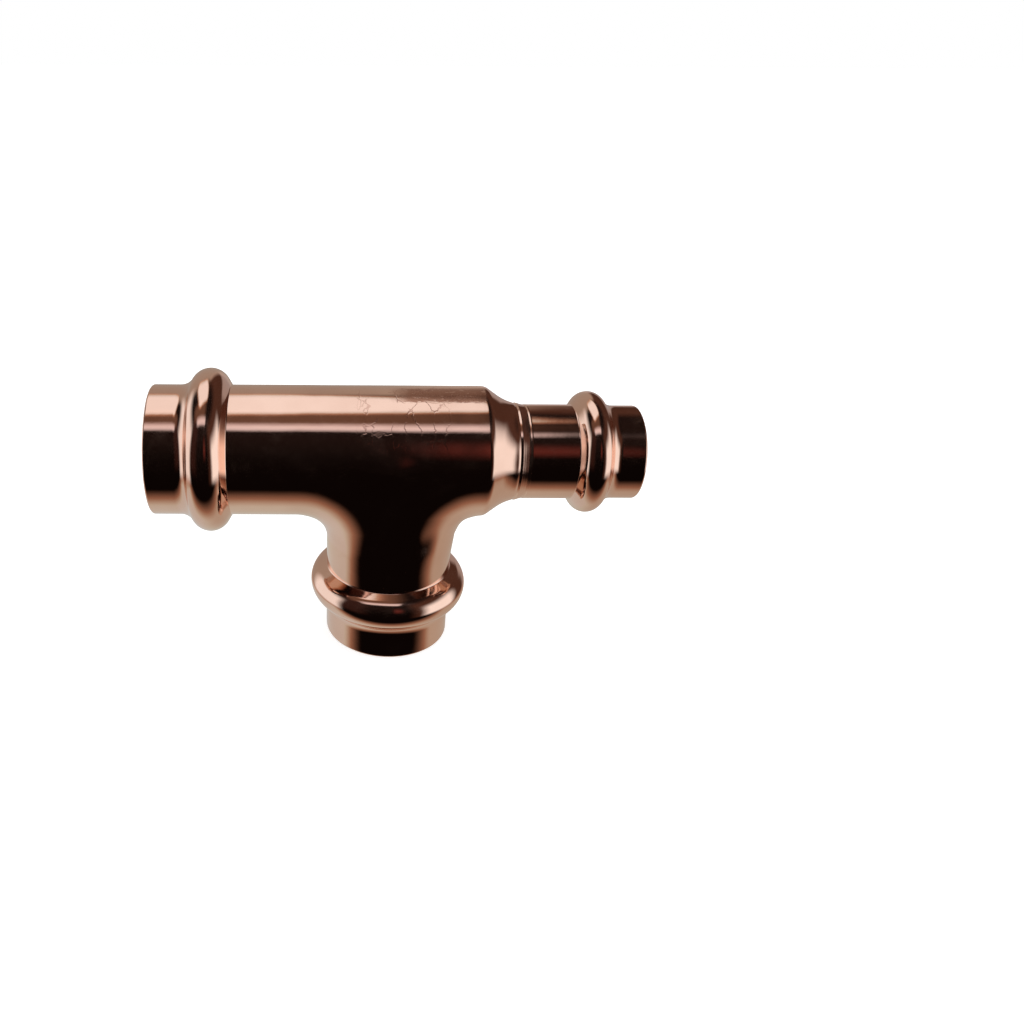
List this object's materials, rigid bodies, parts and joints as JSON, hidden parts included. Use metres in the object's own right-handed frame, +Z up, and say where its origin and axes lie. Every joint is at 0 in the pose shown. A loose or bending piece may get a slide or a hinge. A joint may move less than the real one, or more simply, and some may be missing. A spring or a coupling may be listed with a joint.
{
  "type": "tee fitting",
  "caption": "Reducing press tee for copper tube: two large beaded sockets, one reduced socket, and a captive sealing ring in each bead.",
  "frame": {"origin": "centre of the branch mouth, in the plane that the tee stands on", "axes": "+Z up along the branch axis towards the run, +X along the run towards the reduced socket, +Y across the run"},
  "size_m": [0.0899, 0.0306, 0.0541],
  "materials": {
    "copper": null,
    "epdm": "black EPDM rubber, satin"
  },
  "bodies": {
    "root": {"tee_body": "copper", "run_sealing_ring": "epdm", "branch_sealing_ring": "epdm", "reduced_sealing_ring": "epdm"}
  },
  "joints": []
}
